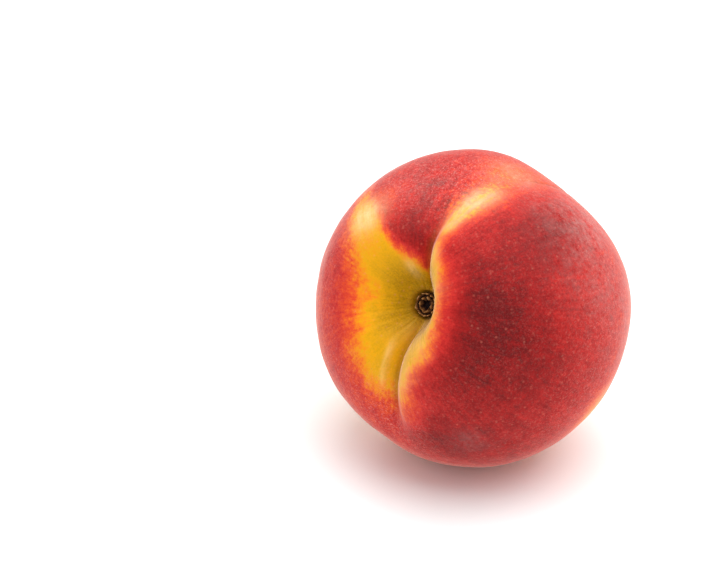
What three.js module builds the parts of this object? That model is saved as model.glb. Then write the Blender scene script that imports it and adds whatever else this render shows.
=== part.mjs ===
// A ripe peach, picked without its stalk and lying on its back on a table. The fruit is one solid: two
// cheeks, a deep stalk hollow, the seam that runs from the hollow to the small point at the blossom end,
// and a small flat spot that it rests on. In the bottom of the hollow sits the corky scar of the stalk.
//
// Each mesh is made in the fruit's own frame: the middle of the fruit is the origin, +Y runs along the core
// to the stalk, -Z faces the seam and +X the fuller cheek. A place on the skin is given by its polar angle
// from the stalk and by its azimuth round the core, from the seam towards the fuller cheek.
// The group turns that frame so that the stalk faces the front (-Y) and the seam is on top, and stands the
// flat spot on z = 0. Lengths are millimetres and angles are degrees.
import * as THREE from "three";

const { degToRad, lerp, smoothstep } = THREE.MathUtils;

// Driving dimensions of the fruit.
const FULL_CHEEK = 38.3; // core to the outside of the fuller cheek
const SMALL_CHEEK = 36.9;
const SEAM_REACH = 36.8; // core to the seam side, before the seam is cut
const BACK_REACH = 38;
const SHOULDER_RISE = 36.2; // middle to the stalk end, if it had no hollow
const BLOSSOM_REACH = 35.4; // middle to the blossom end, without its point
const POINT_HEIGHT = 1.5;
const POINT_SPREAD = 13; // degrees

// The stalk hollow: a funnel, longer along the seam, with one gentle wall and one steep one.
const HOLLOW_DEPTH = 14.5;
const HOLLOW_FLOOR = 8.5; // degrees from the stalk to the foot of the wall
const HOLLOW_ALONG_SEAM = 17; // degrees from the stalk to half the depth, here and on the two sides
const HOLLOW_GENTLE_SIDE = 19;
const HOLLOW_STEEP_SIDE = 12.2;
const HOLLOW_GENTLE_POWER = 2; // the higher, the sharper the wall's foot and lip
const HOLLOW_STEEP_POWER = 2.8;
const HOLLOW_FADE_FROM = 50; // degrees between which the last of the hollow dies out
const HOLLOW_FADE_TO = 120;

// The seam and its shorter twin down the back: [degrees from the stalk, depth] from end to end.
const SEAM_DEPTHS = [[8, 0], [18, 6.8], [34, 5.2], [54, 3.3], [90, 2.5], [150, 0.9], [178, 0]];
const BACK_DEPTHS = [[8, 0], [18, 6.6], [40, 4.6], [70, 1.4], [110, 0]];
const SEAM_GENTLE_WIDTH = 9.5; // from the bottom of the valley up to the smaller cheek
const SEAM_STEEP_WIDTH = 2.9; // and up to the fuller one
const CREASE_SHARE = 0.4; // of the valley's depth is a narrow crease at its bottom
const CREASE_WIDTH = 2.2;
const SEAM_OPEN_WIDTH = 14; // to both sides, once the valley has opened out
const SEAM_OPENING = [26, 62]; // degrees between which the valley opens out, here and on the back
const BACK_OPENING = [42, 84];
const SEAM_TWIST = 21; // degrees that the seam turns on its way from the hollow to the widest part
const TWIST_FROM = 48;
const TWIST_TO = 96;

// The stalk's scar and the round recess that it sits in.
const SCAR_RADIUS = 2.8;
const SCAR_DEPTH = 1.8;
const SCAR_GAP = 0.3; // clear space all round it

// How it lies.
const STALK_RISE = 26; // degrees of the core above the table
const FLAT_PRESS = 0.75; // how far the skin is pressed in by its own weight

// Mesh sizes.
const RINGS = 54;
const SEGMENTS = 68;
const RING_CROWDING = 1.55; // over 1 sets the rings closer together near the stalk
const SEGMENT_CROWDING = 0.5; // over 0 sets the segments closer together along the seam

const bell = (distance, halfWidth) => Math.exp(-((distance / halfWidth) ** 2));

// The depth at a polar angle, eased from each [angle, depth] stop to the next.
function depthAlong(stops, angle) {
  const next = stops.findIndex(([stop]) => stop > angle);
  if (next === 0) return stops[0][1];
  if (next < 0) return stops[stops.length - 1][1];
  const [from, start] = stops[next - 1];
  const [to, end] = stops[next];
  return lerp(start, end, smoothstep(angle, from, to));
}

// The egg that everything else is cut into: its radius in a direction.
function eggRadius(direction) {
  const halfHeight = direction.y > 0 ? SHOULDER_RISE : BLOSSOM_REACH;
  const halfWidth = direction.x > 0 ? FULL_CHEEK : SMALL_CHEEK;
  const halfThickness = direction.z > 0 ? BACK_REACH : SEAM_REACH;
  return 1 / Math.hypot(direction.x / halfWidth, direction.y / halfHeight, direction.z / halfThickness);
}

// How deep the stalk hollow is, for a polar angle in degrees and an azimuth from the seam in radians.
function hollowDepth(polar, azimuth) {
  const steep = (1 + Math.sin(azimuth)) / 2;
  const across = Math.sin(azimuth) > 0 ? HOLLOW_STEEP_SIDE : HOLLOW_GENTLE_SIDE;
  const out = Math.max(0, polar - HOLLOW_FLOOR);
  const reach = Math.hypot(
    (out * Math.cos(azimuth)) / (HOLLOW_ALONG_SEAM - HOLLOW_FLOOR),
    (out * Math.sin(azimuth)) / (across - HOLLOW_FLOOR),
  );
  const funnel = HOLLOW_DEPTH / (1 + reach ** lerp(HOLLOW_GENTLE_POWER, HOLLOW_STEEP_POWER, steep));
  return funnel * (1 - smoothstep(polar, HOLLOW_FADE_FROM, HOLLOW_FADE_TO));
}

// How deep the seam's valley is, on the seam side or down the back.
function seamDepth(polar, azimuth, radius) {
  const [stops, opening] = Math.cos(azimuth) > 0 ? [SEAM_DEPTHS, SEAM_OPENING] : [BACK_DEPTHS, BACK_OPENING];
  const away = radius * Math.sin(degToRad(polar)) * Math.sin(azimuth);
  const open = smoothstep(polar, ...opening);
  const width = lerp(away > 0 ? SEAM_STEEP_WIDTH : SEAM_GENTLE_WIDTH, SEAM_OPEN_WIDTH, open);
  const crease = CREASE_SHARE * (1 - open);
  return depthAlong(stops, polar) * ((1 - crease) * bell(away, width) + crease * bell(away, CREASE_WIDTH));
}

// The skin's distance from the middle of the fruit in a direction.
function skinRadius(direction) {
  const polar = THREE.MathUtils.radToDeg(Math.acos(direction.y));
  const twist = degToRad(SEAM_TWIST) * smoothstep(polar, TWIST_FROM, TWIST_TO);
  const azimuth = Math.atan2(direction.x, -direction.z) - twist;
  const egg = eggRadius(direction);
  return egg
    - hollowDepth(polar, azimuth)
    - seamDepth(polar, azimuth, egg)
    + POINT_HEIGHT * bell(180 - polar, POINT_SPREAD);
}

// Directions over a sphere, with the rings crowded at the stalk and the segments along the seam.
function crowdedDirection(evenDirection) {
  const even = Math.acos(THREE.MathUtils.clamp(evenDirection.y, -1, 1)) / Math.PI;
  const polar = Math.PI * even ** RING_CROWDING;
  const turn = Math.atan2(evenDirection.x, -evenDirection.z);
  const azimuth = turn - (SEGMENT_CROWDING / 2) * Math.sin(2 * turn);
  const out = Math.sin(polar);
  return new THREE.Vector3(out * Math.sin(azimuth), Math.cos(polar), -out * Math.cos(azimuth));
}

const scarFloor = SHOULDER_RISE - HOLLOW_DEPTH - SCAR_DEPTH - SCAR_GAP; // height of the recess's floor
const recessRadius = SCAR_RADIUS + SCAR_GAP;
const down = new THREE.Vector3(0, -Math.sin(degToRad(STALK_RISE)), Math.cos(degToRad(STALK_RISE)));

function fruitGeometry() {
  const geometry = new THREE.SphereGeometry(1, SEGMENTS, RINGS);
  const place = geometry.getAttribute("position");
  const points = [];
  for (let i = 0; i < place.count; i++) {
    const direction = crowdedDirection(new THREE.Vector3().fromBufferAttribute(place, i));
    const point = direction.clone().multiplyScalar(skinRadius(direction));
    // The recess for the scar is a flat-bottomed well round the core.
    if (direction.y > 0 && Math.hypot(point.x, point.z) < recessRadius) point.y = scarFloor;
    points.push(point);
  }
  const reach = Math.max(...points.map((point) => point.dot(down))) - FLAT_PRESS;
  points.forEach((point, i) => {
    point.addScaledVector(down, Math.min(0, reach - point.dot(down)));
    place.setXYZ(i, point.x, point.y, point.z);
  });
  geometry.deleteAttribute("normal");
  geometry.deleteAttribute("uv");
  return { geometry, reach };
}

// A low button with a raised rim, a groove inside it and a small hollow in the middle.
function scarGeometry() {
  const base = scarFloor + SCAR_GAP;
  const profile = [
    [0, 0], [0.92, 0], [1, 0.25], [1, 0.8], [0.88, 1],
    [0.74, 0.78], [0.56, 0.95], [0.38, 0.72], [0.3, 0.35], [0, 0.3],
  ].map(([out, up]) => new THREE.Vector2(out * SCAR_RADIUS, base + up * SCAR_DEPTH));
  return new THREE.LatheGeometry(profile, 32);
}

const skin = new THREE.MeshStandardMaterial({ color: "#b5322b", roughness: 0.75, metalness: 0 });
const cork = new THREE.MeshStandardMaterial({ color: "#5a3416", roughness: 0.9, metalness: 0 });

const { geometry: flesh, reach } = fruitGeometry();
const fruit = new THREE.Mesh(flesh, skin);
fruit.name = "peach_fruit";
const scar = new THREE.Mesh(scarGeometry(), cork);
scar.name = "stalk_scar";

const lying = new THREE.Group();
lying.add(fruit, scar);
lying.rotation.x = Math.PI - degToRad(STALK_RISE);
lying.position.z = reach;

const peach = new THREE.Group();
peach.add(lying);
const middle = new THREE.Box3().setFromObject(peach, true).getCenter(new THREE.Vector3());
lying.position.x = -middle.x;
lying.position.y = -middle.y;

export default peach;
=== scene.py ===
# %% [markdown]
# # A ripe peach
# A whole peach, picked without its stalk, lies on its back on a pale table. The model's frame gives its
# shape in plain facets. This lesson makes the living surface: a smooth skin with its seam, wrinkles and
# small dents, the red blush over a yellow ground, the down, and the corky scar of the stalk.

# %% Load the frame
import math

import bmesh
import bpy
import numpy as np
from mathutils import Matrix, Vector


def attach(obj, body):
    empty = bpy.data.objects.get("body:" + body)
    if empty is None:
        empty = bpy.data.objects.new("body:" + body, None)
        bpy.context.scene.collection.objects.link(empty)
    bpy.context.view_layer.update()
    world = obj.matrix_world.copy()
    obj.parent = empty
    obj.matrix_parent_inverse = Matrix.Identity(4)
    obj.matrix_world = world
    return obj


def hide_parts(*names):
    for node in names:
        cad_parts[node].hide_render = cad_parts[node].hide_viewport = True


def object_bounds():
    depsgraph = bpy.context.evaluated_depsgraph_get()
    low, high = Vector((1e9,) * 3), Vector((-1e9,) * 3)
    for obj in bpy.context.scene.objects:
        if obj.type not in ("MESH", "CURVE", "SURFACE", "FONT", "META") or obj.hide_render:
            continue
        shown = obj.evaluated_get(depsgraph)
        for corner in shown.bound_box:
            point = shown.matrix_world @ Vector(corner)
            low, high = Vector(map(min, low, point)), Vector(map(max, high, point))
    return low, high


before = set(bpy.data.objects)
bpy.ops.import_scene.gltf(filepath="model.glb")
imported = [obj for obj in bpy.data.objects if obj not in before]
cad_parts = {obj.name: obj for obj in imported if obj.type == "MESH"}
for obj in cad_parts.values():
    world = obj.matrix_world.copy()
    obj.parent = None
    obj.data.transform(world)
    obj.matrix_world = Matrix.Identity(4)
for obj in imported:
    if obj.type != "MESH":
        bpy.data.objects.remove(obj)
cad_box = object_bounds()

MM = 0.001
random = np.random.default_rng(11)
low, high = (Vector(corner) for corner in cad_box)
middle = (low + high) / 2
print("CAD box in mm:", [[round(v / MM, 1) for v in corner] for corner in cad_box])

# %% [markdown]
# ## How a material is written
# A finish is a chain of small nodes. It could be drawn by hand in the node editor, but a written chain can be
# read and changed line by line. Two helpers keep it short. One turns a colour as a maker writes it into
# linear light, and the other adds a node together with its settings and links.

# %% Helpers for materials
def linear(hex_colour):
    """A colour such as "#f2b22a", in the linear light that a material takes."""
    parts = [int(hex_colour[i:i + 2], 16) / 255 for i in (1, 3, 5)]
    return [c / 12.92 if c <= 0.04045 else ((c + 0.055) / 1.055) ** 2.4 for c in parts] + [1.0]


def add_node(material, kind, settings=None, inputs=None, stops=()):
    """Adds one shader node. settings are its properties, and stops the places and colours along its ramp.
    An input takes a number, a colour or the socket that feeds it."""
    node = material.node_tree.nodes.new(kind)
    for name, value in (settings or {}).items():
        setattr(node, name, value)
    for name, value in (inputs or {}).items():
        if isinstance(value, bpy.types.NodeSocket):
            material.node_tree.links.new(value, node.inputs[name])
        else:
            node.inputs[name].default_value = value
    for position, _ in stops[1:-1]:
        node.color_ramp.elements.new(position)
    for i, (position, hex_colour) in enumerate(stops):
        node.color_ramp.elements[i].position = position
        node.color_ramp.elements[i].color = linear(hex_colour)
    return node


def empty_material(name):
    material = bpy.data.materials.new(name)
    material.use_nodes = True
    material.node_tree.nodes.clear()
    return material


print("a mid grey in linear light:", round(linear("#808080")[0], 3))

# %% [markdown]
# ## The table
# Fruit is usually shown on a seamless white board. One large plane is enough, because its edges stay out of
# sight. The board is a matt white laminate: it has almost no gloss, and it sends so much light back up that
# the fruit's underside glows.

# %% White board
board = empty_material("matt_white_laminate")
board_shader = add_node(board, "ShaderNodeBsdfPrincipled", inputs={
    "Base Color": linear("#f8fdfd"), "Roughness": 0.6, "Specular IOR Level": 0.2})
add_node(board, "ShaderNodeOutputMaterial", inputs={"Surface": board_shader.outputs["BSDF"]})
bpy.ops.mesh.primitive_plane_add(size=6, location=(0, 0, low.z - 0.02 * MM))
table = bpy.context.object
table.name = "table"
table.data.materials.append(board)
print("table at", round(table.location.z / MM, 2), "mm")

# %% [markdown]
# ## The light
# One wide soft light stands above and a little behind the fruit, and leaves a faint shadow in front. A bare
# lamp would cut a hard shadow, so each lamp is a square of some size, as a softbox is. A smaller one on the
# left brings out the smaller cheek, and the white room fills the shadow.

# %% Softboxes and a white room
def softbox(name, place, size, watts):
    """A square lamp that faces the fruit."""
    lamp = bpy.data.lights.new(name, "AREA")
    lamp.size = size
    lamp.energy = watts
    light = bpy.data.objects.new(name, lamp)
    bpy.context.scene.collection.objects.link(light)
    light.location = place
    light.rotation_euler = (middle - light.location).to_track_quat("-Z", "Y").to_euler()


softbox("overhead_softbox", (0.2, 0.08, 1.0), 1.25, 13)
softbox("left_softbox", (-0.8, 0.5, 0.7), 0.5, 2)
room = bpy.data.worlds.new("white_room")
room.use_nodes = True
walls = room.node_tree.nodes["Background"]
walls.inputs["Color"].default_value = linear("#ffffff")
walls.inputs["Strength"].default_value = 0.8
bpy.context.scene.world = room
bpy.context.scene.view_settings.view_transform = "Standard"  # colours come out as they are written

# %% [markdown]
# ## The camera
# The camera looks down at the hollow and at the fuller cheek. A long lens from some way off keeps the fruit
# as round as the eye sees it, where a short one would swell the near cheek. The camera is slid sideways, not
# turned, so that the fruit stands a little right of the middle and a little low.

# %% Camera
CAMERA_AZIMUTH = math.radians(34.5)  # round from the front, towards the full cheek
CAMERA_RISE = math.radians(30)
CAMERA_DISTANCE = 0.69
LENS, SENSOR = 150, 36  # mm
OFF_CENTRE = (1 / 6, -0.03884)  # where the fruit stands, right and up, as shares of the picture's width

backwards = Vector((
    math.sin(CAMERA_AZIMUTH) * math.cos(CAMERA_RISE),
    -math.cos(CAMERA_AZIMUTH) * math.cos(CAMERA_RISE),
    math.sin(CAMERA_RISE),
))
rightwards = Vector((math.cos(CAMERA_AZIMUTH), math.sin(CAMERA_AZIMUTH), 0))
upwards = backwards.cross(rightwards)
span = CAMERA_DISTANCE * SENSOR / LENS  # the width that the picture takes in at the fruit
slide = (rightwards * OFF_CENTRE[0] + upwards * OFF_CENTRE[1]) * span
eye = middle + backwards * CAMERA_DISTANCE - slide
camera_data = bpy.data.cameras.new("studio_camera")
camera_data.lens = LENS
camera_data.sensor_width = SENSOR
camera_data.clip_start = 0.01
camera = bpy.data.objects.new("studio_camera", camera_data)
bpy.context.scene.collection.objects.link(camera)
camera.matrix_world = Matrix.Translation(eye) @ Matrix((rightwards, upwards, backwards)).transposed().to_4x4()
bpy.context.scene.camera = camera
print("camera at", [round(v, 3) for v in eye], "m; the picture is", round(span / MM), "mm wide at the fruit")

# %% [markdown]
# ## Finding the core
# Everything on a peach is laid out round its core: the hollow, the seam, the wrinkles and the streaks of
# colour. The facets meet in two points, where the core leaves the fruit, so those points give its line.
# A place on the skin is then two angles, as on a globe: how far it is from the stalk, and how far it is
# round from the seam, towards the fuller cheek.

# %% The fruit's own axes
BLOSSOM_REACH = 36.9 * MM  # middle of the fruit to the tip of the blossom end

fruit_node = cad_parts["peach_fruit"]
grown = bmesh.new()
grown.from_mesh(fruit_node.data)
bmesh.ops.remove_doubles(grown, verts=grown.verts, dist=0.001 * MM)
ends = sorted(grown.verts, key=lambda vert: -len(vert.link_edges))[:2]  # where most edges meet
stalk_end, blossom_end = sorted((vert.co.copy() for vert in ends), key=lambda end: end.y)
core = (stalk_end - blossom_end).normalized()
heart = blossom_end + core * BLOSSOM_REACH
cheek = Vector((1, 0, 0))
seam_side = core.cross(cheek)
if seam_side.z < 0:
    seam_side.negate()
print("core rises", round(math.degrees(math.asin(core.z)), 1), "degrees")
print("heart at", [round(v / MM, 2) for v in heart], "mm")


def place_on_skin(places):
    """For places in metres: degrees from the stalk, degrees round from the seam, and mm from the heart."""
    out = places - np.array(heart)
    distance = np.linalg.norm(out, axis=1)
    polar = np.degrees(np.arccos(np.clip(out @ np.array(core) / distance, -1, 1)))
    azimuth = np.degrees(np.arctan2(out @ np.array(cheek), out @ np.array(seam_side)))
    return polar, azimuth, distance / MM


# %% [markdown]
# ## The skin
# A skin has no facets. It could be remeshed into even squares, but those would cut across the seam. Here
# the slanting edges of the frame's triangles are taken out instead, which leaves neat four-sided patches
# along the meridians.

# %% Patches from facets
NEAR_END, OFF_RING, OFF_MERIDIAN = 0.1, 0.3, 0.5  # degrees


def is_slanting(edge):
    """An edge that runs neither along a meridian nor round the core is the diagonal of a patch."""
    polar, azimuth, _ = place_on_skin(np.array([vert.co for vert in edge.verts]))
    if min(polar) < NEAR_END or max(polar) > 180 - NEAR_END:
        return False
    turn = abs((azimuth[0] - azimuth[1] + 180) % 360 - 180)
    return abs(polar[0] - polar[1]) > OFF_RING and turn > OFF_MERIDIAN


slanting = [edge for edge in grown.edges if is_slanting(edge)]
bmesh.ops.dissolve_edges(grown, edges=slanting, use_verts=False)
patch_mesh = bpy.data.meshes.new("skin_patches")
grown.to_mesh(patch_mesh)
print("patches:", len(grown.faces), "of which four-sided:", sum(len(face.verts) == 4 for face in grown.faces))
grown.free()

# %% [markdown]
# ## From patches to a smooth skin
# A ripe cheek has no edges, so nothing on it may look bent by accident. Shading the patches smooth would
# still leave their corners in the outline. Two rounds of subdivision turn them into one smooth surface with
# a point about every half millimetre, which is fine enough to carve wrinkles into.

# %% A smooth skin from the patches
patches = bpy.data.objects.new("skin_patches", patch_mesh)
bpy.context.scene.collection.objects.link(patches)
smoothing = patches.modifiers.new("smoothing", "SUBSURF")
smoothing.levels = smoothing.render_levels = 2
bpy.context.view_layer.update()
skin_mesh = bpy.data.meshes.new_from_object(patches.evaluated_get(bpy.context.evaluated_depsgraph_get()))
bpy.data.objects.remove(patches)
skin_mesh.name = "peach_skin"
skin_mesh.polygons.foreach_set("use_smooth", np.ones(len(skin_mesh.polygons), bool))
skin = bpy.data.objects.new("peach_skin", skin_mesh)
bpy.context.scene.collection.objects.link(skin)
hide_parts("peach_fruit")
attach(skin, "root")
print("skin:", len(skin_mesh.vertices), "points and", len(skin_mesh.polygons), "faces")

# %% [markdown]
# ## The tools for carving
# A sculptor works with a few strokes again and again. Three are enough here: an ease from nothing to full, a
# round spot at a place on the skin, and swells, a random but smooth relief made of plane waves. Each works
# on all the points of the skin at once.

# %% Ease, spot and swells
MEAN_RADIUS = 36  # mm, of the whole fruit

points = np.empty(len(skin_mesh.vertices) * 3)
skin_mesh.vertices.foreach_get("co", points)
points = points.reshape(-1, 3)
polar, azimuth, distance = place_on_skin(points)


def ease(value, start, end):
    """0 before start, 1 after end, and a smooth step between them."""
    share = np.clip((value - start) / (end - start), 0, 1)
    return share * share * (3 - 2 * share)


def spot(at_polar, at_azimuth, radius):
    """1 in the middle of a round spot on the skin, fading to 0 at about twice its radius in mm."""
    down, round_core = math.radians(at_polar), math.radians(at_azimuth)
    towards = np.array(core) * math.cos(down) + math.sin(down) * (
        np.array(cheek) * math.sin(round_core) + np.array(seam_side) * math.cos(round_core))
    out = (points - np.array(heart)) / MM
    aside = np.arccos(np.clip(out @ towards / np.linalg.norm(out, axis=1), -1, 1)) * MEAN_RADIUS
    return np.exp(-(aside / radius) ** 2)


def swells(waves, shortest, longest):
    """A smooth random relief, between -1 and 1 or so. Wavelengths are in mm."""
    relief = np.zeros(len(points))
    for _ in range(waves):
        direction = random.normal(size=3)
        direction /= np.linalg.norm(direction)
        length = random.uniform(shortest, longest)
        relief += np.sin(2 * np.pi * (points / MM) @ direction / length + random.uniform(0, 2 * np.pi))
    return relief / math.sqrt(waves)


print("the skin is", round(distance.min(), 1), "to", round(distance.max(), 1), "mm from the heart")

# %% [markdown]
# ## The seam and its crease
# The seam is where the fruit's one leaf folded shut. The frame has its valley, and what is missing is the
# fine crease at the bottom. It is deepest in the hollow, fades where the valley opens out, and goes on as a
# thin line to the blossom end. The back has a crease too, and a low fold beside it.

# %% Creases and fold
SEAM_TWIST, TWIST_FROM, TWIST_TO = 21, 48, 96  # degrees: the seam turns towards the full cheek
CREASE_WIDTH = 0.55  # mm

seam_azimuth = azimuth - SEAM_TWIST * ease(polar, TWIST_FROM, TWIST_TO)
from_seam = distance * np.sin(np.radians(polar)) * np.sin(np.radians(seam_azimuth))  # mm
on_seam_side = np.cos(np.radians(seam_azimuth)) > 0
seam_crease = 0.45 * (1 - ease(polar, 22, 36)) + 0.18 * ease(polar, 62, 80)
back_crease = 0.35 * (1 - ease(polar, 40, 70))
carved = -np.where(on_seam_side, seam_crease, back_crease) * np.exp(-(from_seam / CREASE_WIDTH) ** 2)
carved *= ease(polar, 10, 16) * (1 - ease(polar, 165, 176))
fold = np.exp(-((from_seam + 2.8) / 0.7) ** 2) * ~on_seam_side
fold *= ease(polar, 18, 24) * (1 - ease(polar, 32, 42))
print("the crease is", round(-carved.min(), 2), "mm deep")

# %% [markdown]
# ## Wrinkles, swells and dents
# Round the stalk the skin is gathered like cloth in a drawstring, so the wrinkles are waves round the core.
# Two waves that don't fit each other keep them uneven. The flesh swells unevenly too, which gives the cheeks
# faint swells, and the fruit's neighbours on the tree left a few small dents. The spot that the fruit rests
# on stays as flat as the frame has it.

# %% Carve the skin
gather = ease(polar, 8, 12) * (1 - ease(polar, 16, 30))
round_core = np.radians(azimuth)
wrinkles = np.sin(23 * round_core + 1.3 * np.sin(5 * round_core))
wrinkles += 0.7 * np.sin(41 * round_core + 2 * np.sin(3 * round_core))
carved += 0.09 * gather * wrinkles
carved += 0.4 * fold
carved += ease(polar, 15, 35) * (0.16 * swells(24, 18, 40) + 0.03 * swells(40, 4, 9))

DENTS = [  # degrees from the stalk, degrees round from the seam, radius and depth in mm
    (180, 0, 1.1, 0.5), (70, 134, 1.6, 0.25), (52, 62, 2.4, 0.2), (60, -95, 2.0, 0.15),
]
for *at, depth in DENTS:
    carved -= depth * spot(*at)
above_table = (points[:, 2] - low.z) / MM
carved *= np.clip((above_table - 1.2) / 1.2, 0, 1)
outwards = (points - np.array(heart)) / distance[:, None] / MM
points += outwards * (carved * MM)[:, None]
points[:, 2] = np.maximum(points[:, 2], low.z)
skin_mesh.vertices.foreach_set("co", points.ravel())
skin_mesh.update()
print("carved between", round(carved.min(), 2), "and", round(carved.max(), 2), "mm")

# %% [markdown]
# ## Where the yellow ends
# A peach ripens yellow and reddens where the sun reaches it. The hollow never sees the sun, and a leaf or a
# twig leaves a yellow shadow. One could paint this by hand, but a short list does as well: how far the
# yellow reaches out of the hollow in each direction, and how softly it turns to red. Swells make that edge
# uneven.

# %% Yellow ground and blush
YELLOW_REACH = {  # degrees round from the seam: (degrees from the stalk to the edge, its softness)
    -180: (44, 12), -165: (40, 11.5), -150: (34, 13), -130: (27, 12), -100: (23.8, 11), -78: (27.5, 15),
    -64: (41, 20), -54: (62, 17), -48: (56, 17), -43: (44, 15), -38: (32, 12), -32: (24.5, 8), -20: (22, 6),
    -5: (19, 6), 4: (24, 6), 14: (29, 7), 24: (23, 6), 36: (19, 5), 54: (16.5, 4), 80: (15, 4),
    100: (15.7, 5), 120: (17.5, 6.5), 140: (21, 8), 150: (24, 9), 160: (29, 10), 170: (39, 11), 180: (44, 12),
}
turns = np.array(list(YELLOW_REACH), float)
reaches, softnesses = np.array(list(YELLOW_REACH.values()), float).T
reach = np.interp(azimuth, turns, reaches)
softness = np.interp(azimuth, turns, softnesses)
reach += 0.6 * swells(20, 5, 12) + 0.08 * softness * swells(30, 2, 4)
blushed = ease(polar, reach - softness, reach + softness)
print("blushed:", round(100 * blushed.mean()), "percent of the points")

# %% [markdown]
# ## How red the blush is
# Ripeness goes from 0, the dark greenish yellow at the bottom of the hollow, through orange and red to 1, the
# dark maroon of the sunniest skin. The darkness at the bottom of the hollow is partly painted shade. The
# blush starts at one even red. Spots then deepen it on the cheek that faced the sun, and lighten it beside
# the seam and on the shaded side. Each is a place, a spread in millimetres and a change of ripeness.

# %% Ripeness
REDDENING = {
    "pale strip beside the seam": [
        (34, 12, 2.8, -0.34), (39, 10, 3, -0.32), (44, 12, 3.6, -0.24), (49, 13, 4, -0.17),
        (54, 15, 4.4, -0.1), (59, 14, 4.4, -0.08), (64, 12, 5, -0.09), (72, 8, 7, -0.12), (92, 14, 10, -0.1),
    ],
    "full cheek": [
        (36, 70, 9, 0.12), (36, 92, 15, 0.13), (42, 112, 14, 0.1), (33, 124, 6, 0.05), (36, 42, 8, 0.08),
        (53, 34, 7, 0.05), (76, 39, 9, 0.12), (61, 46, 8, 0.14), (62, 74, 16, 0.06), (66, 105, 12, 0.06),
        (74, 143, 14, 0.14), (56, 157, 8, 0.16), (37, 160, 3, -0.12), (46, 166, 3, -0.16),
        # The first two spots on this line lighten the full cheek's lower edge to orange: partly painted
        # light, the glow that the white board throws up onto that edge.
        (99, 109, 5, -0.2), (107, 118, 7, -0.28), (20, 40, 4, -0.2), (19, 65, 4, -0.16), (19, 100, 4, -0.2),
        (20, 130, 4, -0.2),
    ],
    "smaller cheek": [
        (32, -14, 6, 0.18), (52, -16, 9, 0.1), (50, -31, 5, -0.1), (49, 179, 4, -0.06), (40, -110, 7, -0.04),
    ],
    "shaded side": [(120, -120, 30, -0.4), (150, 60, 22, -0.3), (125, 170, 22, -0.3), (115, -30, 20, 0.06)],
}
redness = np.full(len(points), 0.7)
for spots in REDDENING.values():
    for *at, change in spots:
        redness += change * spot(*at)
# Towards the bottom of the hollow the ground runs down the ramp to a dark olive: partly the fruit's greenish
# yellow there, partly painted shade of the deep hollow.
ground = 0.185 - 0.13 * (1 - ease(polar, 12, 32)) + 0.06 * spot(18, -173, 5) + 0.09 * spot(34, -57, 8)
ripeness = ground + (np.clip(redness, 0.34, 1) - ground) * blushed
print("ripeness from", round(ripeness.min(), 2), "to", round(ripeness.max(), 2))

# %% [markdown]
# ## Pale patches, painted highlights, bloom, painted sheen, stains and painted shade
# Where the skin is stretched it pales, as on the lip of the hollow. The cream spots on the smaller cheek's
# shoulder, in the strip beside the seam and along the low fold are painted highlights, where the soft light
# catches them. A faint grey-pink bloom lies where no hand has touched the fruit, and near the outline, at the
# top and on the right, it is painted sheen. The ring round the scar is browner, partly the scar's own brown
# halo and partly painted shade at the bottom of the hollow, and the crease is darkened with painted shade.
# Dust and dead skin stain the seam towards the blossom end and the blossom point. Each is a share between 0
# and 1.

# %% Shares of the other colours
# The first seven spots, on the smaller cheek's shoulder and in the strip beside the seam, are painted
# highlights; the last three lie on the lip near the scar.
PALE_AND_HIGHLIGHTS = [  # degrees from the stalk, degrees round from the seam, spread in mm, share
    (44, -49, 4.5, 0.62), (36, 10, 2.4, 0.3), (42, 10, 2.8, 0.26), (48, 11, 3.4, 0.3), (54, 12, 3.6, 0.32),
    (60, 13, 3.4, 0.24), (79, 10, 6, 0.18), (17, 52, 2.4, 0.08), (15, -172, 3, 0.08), (18, -24, 1.6, 0.3),
]
# The spots near the outline, at the top, the upper right and the right edge, are painted sheen, a whitish
# haze where the skin turns away; the other two are bloom.
BLOOM_AND_SHEEN = [
    (78, 38, 10, 0.1), (87, 45, 5, 0.12), (78, 62, 10, 0.07), (60, 146, 4, 0.07), (54, -20, 10, 0.05),
    (76, 8, 8, 0.06), (105, 75, 14, 0.1),
]
towards_cheek = np.sin(round_core)
inner_wall = (azimuth > 5) & (azimuth < 172)
paleness_and_highlights = 0.2 * np.where(inner_wall, (1 - blushed) * ease(towards_cheek, 0, 0.3), 0)
# The low fold's crest is paled with a painted highlight.
paleness_and_highlights += 0.22 * fold + sum(share * spot(*at) for *at, share in PALE_AND_HIGHLIGHTS)
bloom_and_sheen = sum(share * spot(*at) for *at, share in BLOOM_AND_SHEEN)
# Painted shade: the brown round the scar partly darkens the bottom of the hollow, and the brown in the crease
# darkens it as a deep crease is dark. Along the seam towards the blossom end and at the blossom point it is
# stain.
near_scar = 1 - ease(polar, 7.5, 12.5)
crease_end = np.where(on_seam_side, 28, 42)
crease_length = ease(polar, 14, 20) * (1 - ease(polar, crease_end, crease_end + 12))
crease_shade = np.exp(-(from_seam / 0.8) ** 2) * crease_length
on_seam = np.exp(-(from_seam / 0.5) ** 2) * on_seam_side * ease(polar, 62, 80)
stain_and_shade = np.clip(0.75 * near_scar + 0.5 * crease_shade + 0.3 * on_seam + 1.2 * spot(180, 0, 0.9), 0, 1)
print("stained:", round(100 * (stain_and_shade > 0.2).mean(), 1), "percent of the points")

# %% [markdown]
# ## Streaks and down
# The red lies in streaks that run from the stalk to the blossom end, and they show most where yellow turns
# to red. The down is thick on the smaller cheek and thin in the hollow. On the full cheek it is thin near the
# hollow and thickens towards the widest part, where the camera sees the outline: that is partly painted
# sheen, the whitish haze at the edge of a downy fruit. All the maps are kept on the skin's points, where the
# material reads them, together with a place that changes slowly along a meridian, which stretches a pattern
# into streaks.

# %% Write the maps on the skin
CHANGE_ALONG = 0.16  # how fast the pattern changes along a meridian, as a share of that round the core

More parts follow.
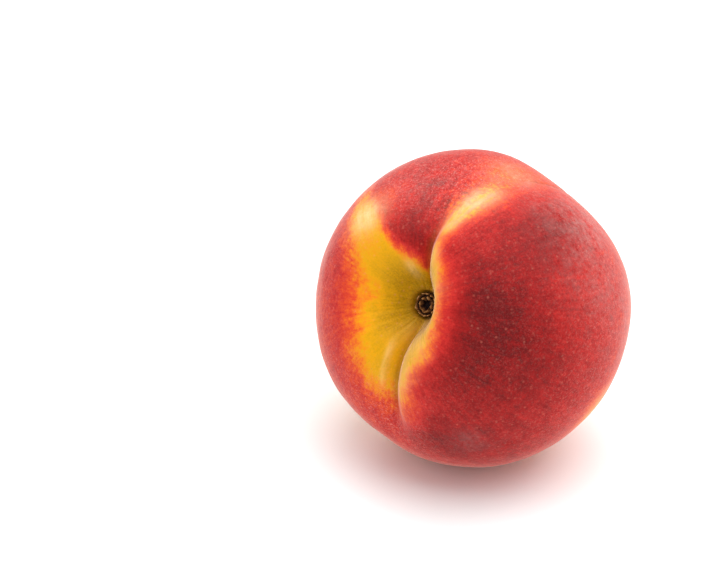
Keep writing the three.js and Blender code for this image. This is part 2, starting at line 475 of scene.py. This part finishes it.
beside_seam = spot(45, 7, 6) + spot(58, 11, 6)
streakiness = 0.08 + 0.6 * blushed * (1 - blushed) + 0.08 * blushed + 0.4 * beside_seam
on_full_cheek = ease(towards_cheek, 0, 0.5)
down_and_rim_sheen = 0.05 + 0.3 * ease(polar, 20, 38)
# On the full cheek the down thickens towards the widest part, where the camera sees the outline: partly
# painted sheen, a whitish haze at the edge.
down_and_rim_sheen += (1 - on_full_cheek) * 1.5 * ease(polar, 28, 62) + on_full_cheek * ease(polar, 58, 92)
skin_maps = {
    "ripeness": ripeness, "paleness_and_highlights": paleness_and_highlights, "bloom_and_sheen": bloom_and_sheen, "stain_and_shade": stain_and_shade, "down_and_rim_sheen": down_and_rim_sheen,
    "streakiness": streakiness, "blotchiness": 0.08 + 0.9 * streakiness,
    "stippling": 1.3 * streakiness + 0.1 * down_and_rim_sheen,
}
for name, values in skin_maps.items():
    skin_mesh.attributes.new(name, "FLOAT", "POINT").data.foreach_set("value", values.astype(np.float32))
streak_place = np.column_stack((np.cos(round_core), np.sin(round_core), np.radians(polar) * CHANGE_ALONG))
skin_mesh.attributes.new("streak_place", "FLOAT_VECTOR", "POINT").data.foreach_set(
    "vector", streak_place.astype(np.float32).ravel())
print("maps:", {name: round(float(values.mean()), 2) for name, values in skin_maps.items()})

# %% [markdown]
# ## The patterns in the skin
# The red is not paint. It lies in streaks, blotches and tiny dots, with the yellow showing between them.
# Each pattern is a noise texture with a size in millimetres, and a texture's scale is how many such sizes
# fit in one unit. The streaks are laid round the core, where the unit is the fruit's radius, and all the
# others in metres. Dots, grain and down are finer in real life, about a tenth of a millimetre. They are
# drawn at half a millimetre to a millimetre, or they would blur away. Every pattern is centred on zero.

# %% Noise patterns
peach_skin = empty_material("downy_peach_skin")
in_metres = add_node(peach_skin, "ShaderNodeTexCoord").outputs["Object"]
streak_node = add_node(peach_skin, "ShaderNodeAttribute", {"attribute_name": "streak_place"})
round_the_core = streak_node.outputs["Vector"]
PATTERNS = {  # name: (where it is laid, size in mm, finer and finer steps, weight of the fine steps, twist)
    "streaks": (round_the_core, 1.385, 4, 0.5, 0),
    "fine streaks": (round_the_core, 0.514, 3, 0.5, 0),
    "blotches": (in_metres, 4.167, 4, 0.6, 0),
    "dots": (in_metres, 1.0, 3, 0.7, 0),
    "grain": (in_metres, 0.435, 2, 0.7, 0),
    "shade": (in_metres, 0.588, 3, 0.7, 0),
    "haze": (in_metres, 1.111, 3, 0.5, 0),
    "down": (in_metres, 0.526, 3, 0.7, 1.6),
    "pimples": (in_metres, 1.429, 2, 0.5, 0),
}
pattern = {}
for name, (vector, size, detail, fineness, twist) in PATTERNS.items():
    unit = MEAN_RADIUS if vector is round_the_core else 1 / MM
    texture = add_node(peach_skin, "ShaderNodeTexNoise", inputs={
        "Vector": vector, "Scale": unit / size, "Detail": detail, "Roughness": fineness, "Distortion": twist})
    pattern[name] = add_node(peach_skin, "ShaderNodeMath", {"operation": "SUBTRACT"}, {
        0: texture.outputs["Fac"], 1: 0.5}).outputs[0]
on_skin = {
    name: add_node(peach_skin, "ShaderNodeAttribute", {"attribute_name": name}).outputs["Fac"]
    for name in skin_maps
}
print("patterns:", {name: round(row[1], 2) for name, row in PATTERNS.items()}, "mm")

# %% [markdown]
# ## Mixing the patterns
# A mixture starts from a number or a map and adds patterns to it, each times its weight. A weight can itself
# be a map, so the streaks come out strong at the edge of the blush and faint on the dark cheek.

# %% Mixtures
MIXTURES = {  # name: (start, [(pattern, weight), ...])
    "uneven ripeness": (on_skin["ripeness"], [
        ("streaks", on_skin["streakiness"]), ("fine streaks", 0.1), ("blotches", on_skin["blotchiness"]),
        ("dots", on_skin["stippling"]), ("grain", 0.2)]),
    "pale mottling": (1.0, [("blotches", 2.0), ("streaks", 1.5)]),
    "bloom mottling": (1.0, [("blotches", 4.0), ("haze", 3.0)]),
    "relief": (0.0, [("grain", 0.1), ("pimples", 0.12)]),
}
mixture = {}
for name, (total, parts) in MIXTURES.items():
    for part, weight in parts:
        total = add_node(peach_skin, "ShaderNodeMath", {"operation": "MULTIPLY_ADD"}, {
            0: pattern[part], 1: weight, 2: total}).outputs[0]
    mixture[name] = total
print("mixtures:", ", ".join(mixture))

# %% [markdown]
# ## Pores, shade and down
# Pale pores stand a little over a millimetre apart. A Voronoi texture has one cell for each, and its cells
# get different strengths, so that some pores hardly show. The shade under the hairs and the light on their
# tips are noise of which only the high parts are kept.

# %% Pores, shade and light tips
PORE_SPACING = 1.25  # mm
pores = add_node(peach_skin, "ShaderNodeTexVoronoi", inputs={
    "Vector": in_metres, "Scale": 1 / (PORE_SPACING * MM)})
pore_kind = add_node(peach_skin, "ShaderNodeSeparateColor", inputs={"Color": pores.outputs["Color"]})
KEPT = {  # name: (socket, from, to, share at from, share at to)
    "pore": (pores.outputs["Distance"], 0.05, 0.32, 0.2, 0.0),
    "strong pores": (pore_kind.outputs[0], 0.3, 1.0, 0.0, 1.0),
    "shade": (pattern["shade"], 0.0, 0.24, 0.0, 0.2),
    "light tips": (pattern["down"], 0.0, 0.22, 0.0, 0.16),
}
kept = {}
for name, (socket, start, end, share_at_start, share_at_end) in KEPT.items():
    kept[name] = add_node(peach_skin, "ShaderNodeMapRange", inputs={
        "Value": socket, "From Min": start, "From Max": end, "To Min": share_at_start, "To Max": share_at_end,
    }).outputs["Result"]
print("pores:", PORE_SPACING, "mm apart")

# %% [markdown]
# ## Peach skin
# Peach skin is a thin waxy skin that grew a coat of hairs, a few tenths of a millimetre long. Its colour
# could come from one painted picture, but then it could not be tuned. Here ripeness picks the ground colour
# from a ramp of yellows, reds and maroon, and the other colours lie over that in layers, each with the
# product of two shares.

# %% Skin colours from the ground up
ripening = add_node(peach_skin, "ShaderNodeValToRGB", inputs={"Fac": mixture["uneven ripeness"]}, stops=[
    (0.0, "#967204"), (0.12, "#c49004"), (0.24, "#dc9a06"), (0.38, "#e27c18"), (0.52, "#d84a22"),
    (0.68, "#be2824"), (0.84, "#921414"), (1.0, "#620c0e"),
])
LAYERS = [  # a share, the share that it is multiplied by, and the colour of the layer
    # cream: pale skin on the lip, and painted highlights on the smaller cheek's shoulder, beside the seam and
    # on the fold
    (on_skin["paleness_and_highlights"], mixture["pale mottling"], "#fcd69c"),
    # brown: painted shade in the crease and partly round the scar, stain on the seam and the blossom point
    (on_skin["stain_and_shade"], 1.0, "#7c4a0c"),
    (on_skin["down_and_rim_sheen"], kept["shade"], "#4a080c"),
    (kept["pore"], kept["strong pores"], "#ee8a74"),
    # grey-pink: bloom, and near the outline painted sheen
    (on_skin["bloom_and_sheen"], mixture["bloom mottling"], "#dca8a2"),
    # light tips: down, and where the down map grows towards the full cheek's outline, partly painted sheen
    (on_skin["down_and_rim_sheen"], kept["light tips"], "#ffd2c4"),
]
skin_colour = ripening.outputs["Color"]
for share, other_share, hex_colour in LAYERS:
    amount = add_node(peach_skin, "ShaderNodeMath", {"operation": "MULTIPLY"}, {0: share, 1: other_share})
    skin_colour = add_node(peach_skin, "ShaderNodeMix", {"data_type": "RGBA"}, {
        "Factor": amount.outputs[0], "A": skin_colour, "B": linear(hex_colour)}).outputs["Result"]
print("layers over the ground colour:", len(LAYERS))

# %% [markdown]
# ## The down
# The down is too fine to model hair by hair. It scatters light to the side, which whitens the edges of the
# fruit and leaves the middle dark, and that is just what a shader's sheen does. Low pimples under the hairs
# roughen the skin a little. To the eye it is soft, matt and slightly hazy, with no gloss.

# %% Skin surface
goose_skin = add_node(peach_skin, "ShaderNodeBump", inputs={
    "Height": mixture["relief"], "Strength": 0.5, "Distance": 1 * MM})
skin_shader = add_node(peach_skin, "ShaderNodeBsdfPrincipled", inputs={
    "Base Color": skin_colour, "Normal": goose_skin.outputs["Normal"], "Roughness": 0.55,
    "Specular IOR Level": 0.1, "Sheen Weight": 0.65, "Sheen Roughness": 0.24, "Sheen Tint": linear("#ffd8cc"),
})
add_node(peach_skin, "ShaderNodeOutputMaterial", inputs={"Surface": skin_shader.outputs["BSDF"]})
skin_mesh.materials.clear()
skin_mesh.materials.append(peach_skin)
print("nodes in the skin's material:", len(peach_skin.node_tree.nodes))

# %% [markdown]
# ## The stalk's scar
# The stalk breaks off at a corky ring. What is left is a low disc: a torn outer rim, a dark groove, a broken
# inner ring of tan fibres and a star-shaped hole where the strands went in. A bump in the material would
# look flat from the side, so it is real relief. A disc of rings and spokes suits it, because its height
# is easy to work out from how far out and how far round a point is.

# %% Relief of the scar
SCAR_RINGS, SCAR_SPOKES = 46, 132

share_out = (np.arange(1, SCAR_RINGS + 1) / SCAR_RINGS)[:, None]
turn = (np.arange(SCAR_SPOKES) * 2 * np.pi / SCAR_SPOKES)[None, :]


def ragged(fewest, most, waves):
    """Uneven but closed round the turn, between -1 and 1 or so, with that many tears to a turn."""
    total = 0
    for _ in range(waves):
        total = total + np.sin(random.integers(fewest, most) * turn + random.uniform(0, 2 * np.pi))
    return total / math.sqrt(waves)


def ring(at, width):
    """A wavering ring. Its place and width are shares of the scar's radius."""
    return np.exp(-((share_out + 0.03 * ragged(2, 7, 4) - at) / width) ** 2)


hole = 1 - ease(share_out / (0.42 + 0.09 * np.cos(5 * turn) + 0.05 * ragged(3, 12, 4)), 0.6, 1.0)
rim = 0.5 * ring(0.9, 0.07) * (0.7 + 0.5 * ragged(5, 16, 5))
inner_ring = 0.4 * ring(0.58, 0.1) * (0.6 + 0.6 * ragged(4, 13, 5))
fibres = 0.05 * ragged(18, 40, 6) * ease(share_out, 0.2, 0.5)
height = np.clip(0.5 + rim + inner_ring + fibres - 0.2 * ring(0.76, 0.06) - 0.45 * hole, 0.04, 1.0)
height *= 1 - 0.45 * ease(share_out, 0.95, 1.0)
print("relief from", round(height.min(), 2), "to", round(height.max(), 2), "of the scar's height")

# %% [markdown]
# ## The scar's place
# The frame keeps a button-shaped place for the scar in the bottom of the hollow. Its radius, foot and top
# could be typed in, but measured on the frame, along the core and away from it, they always fit.

# %% Measure the scar's place
scar_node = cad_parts["stalk_scar"]
scar_places = np.array([vert.co for vert in scar_node.data.vertices]) - np.array(heart)
scar_heights = scar_places @ np.array(core)
scar_radius = np.linalg.norm(scar_places - np.outer(scar_heights, np.array(core)), axis=1).max()
scar_foot, scar_top = scar_heights.min(), scar_heights.max()
print("place for the scar:", [round(v / MM, 2) for v in (scar_radius, scar_foot, scar_top)], "mm")

# %% [markdown]
# ## The scar's mesh
# Rings of points are set out from the middle, each at the height of the relief, and joined with four-sided
# faces. The last ring lies on the foot, and one point closes the disc from below.

# %% Build the scar
BOTTOM_OF_HOLE = 0.06  # as a share of the scar's height
TOP_RING, FOOT_RING = 0.995, 0.96  # the widest ring and the foot, as shares of the frame's radius

torn = bmesh.new()
across = np.array(core.cross(cheek).normalized())


def scar_point(out, angle, share_up):
    """A point at a distance from the core, an angle round it and a share of the scar's height."""
    sideways = np.array(cheek) * math.cos(angle) + across * math.sin(angle)
    up = scar_foot + (scar_top - scar_foot) * share_up
    return torn.verts.new(np.array(heart) + np.array(core) * up + sideways * out)


middle_point = scar_point(0, 0, BOTTOM_OF_HOLE)
rows = []
for out, heights in zip(scar_radius * TOP_RING * share_out[:, 0], height):
    rows.append([scar_point(out, angle, up) for angle, up in zip(turn[0], heights)])
rows.append([scar_point(scar_radius * FOOT_RING, angle, 0) for angle in turn[0]])
under_point = scar_point(0, 0, 0)
for j in range(SCAR_SPOKES):
    k = (j + 1) % SCAR_SPOKES
    torn.faces.new((middle_point, rows[0][j], rows[0][k]))
    torn.faces.new((under_point, rows[-1][k], rows[-1][j]))
    for inside, outside in zip(rows, rows[1:]):
        torn.faces.new((inside[j], outside[j], outside[k], inside[k]))
bmesh.ops.recalc_face_normals(torn, faces=torn.faces)
print("rings of points:", len(rows), "with", SCAR_SPOKES, "in each")

# %% [markdown]
# ## The scar in the scene
# The finished disc takes the place of the frame's button, in the slot for cork, and rides on the fruit. Its
# faces are shaded smooth, because the points are closer together than its fibres are wide.

# %% Put the scar in its place
scar_mesh = bpy.data.meshes.new("torn_stalk_scar")
torn.to_mesh(scar_mesh)
torn.free()
scar_mesh.polygons.foreach_set("use_smooth", np.ones(len(scar_mesh.polygons), bool))
scar = bpy.data.objects.new("torn_stalk_scar", scar_mesh)
bpy.context.scene.collection.objects.link(scar)
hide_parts("stalk_scar")
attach(scar, "root")
print("scar:", round(scar_radius / MM * 2, 1), "mm across,", len(scar_mesh.polygons), "faces")

# %% [markdown]
# ## Torn cork
# The fruit closes the break with cork, a dead dry tissue that dries out and cracks. To the eye it is matt and
# crumbly, nearly black in the cracks and tan where fibres catch the light. So the colour comes mostly from
# the relief: each point keeps its height, crumbs of noise are added to it, and a ramp turns the sum into
# browns. The near black in the hole and the grooves is partly painted shade, and the tan on the crests is
# partly painted light; the rest is the cork's own brown. Real crumbs are finer, and are drawn this coarse
# so that they show.

# %% Cork
CRUMB_SIZE = 0.385  # mm
CREST_WEIGHT, CRUMB_WEIGHT = 1 / 1.4, 0.5

crest = np.concatenate(([0.0], height.ravel(), np.zeros(SCAR_SPOKES + 1)))
scar_mesh.attributes.new("crest", "FLOAT", "POINT").data.foreach_set(
    "value", (crest * CREST_WEIGHT).astype(np.float32))
cork = empty_material("dry_torn_cork")
crumbs = add_node(cork, "ShaderNodeTexNoise", inputs={
    "Vector": add_node(cork, "ShaderNodeTexCoord").outputs["Object"],
    "Scale": 1 / (CRUMB_SIZE * MM), "Detail": 4.0, "Roughness": 0.65})
crest_on_scar = add_node(cork, "ShaderNodeAttribute", {"attribute_name": "crest"})
crumbly = add_node(cork, "ShaderNodeMath", {"operation": "MULTIPLY_ADD"}, {
    0: crumbs.outputs["Fac"], 1: CRUMB_WEIGHT, 2: crest_on_scar.outputs["Fac"]})
# Painted shade and light: the lower a point lies, the darker brown it gets.
browns = add_node(cork, "ShaderNodeValToRGB", inputs={"Fac": crumbly.outputs[0]}, stops=[
    (0.214, "#0e0506"), (0.514, "#2c0e08"), (0.629, "#4a2a0e"), (0.771, "#8a5c30"), (0.929, "#c0905c"),
])
crumbling = add_node(cork, "ShaderNodeBump", inputs={
    "Height": crumbs.outputs["Fac"], "Strength": 0.6, "Distance": 0.3 * MM})
cork_shader = add_node(cork, "ShaderNodeBsdfPrincipled", inputs={
    "Base Color": browns.outputs["Color"], "Normal": crumbling.outputs["Normal"], "Roughness": 0.85,
    "Specular IOR Level": 0.2})
add_node(cork, "ShaderNodeOutputMaterial", inputs={"Surface": cork_shader.outputs["BSDF"]})
scar_mesh.materials.append(cork)
print("nodes in the cork's material:", len(cork.node_tree.nodes))
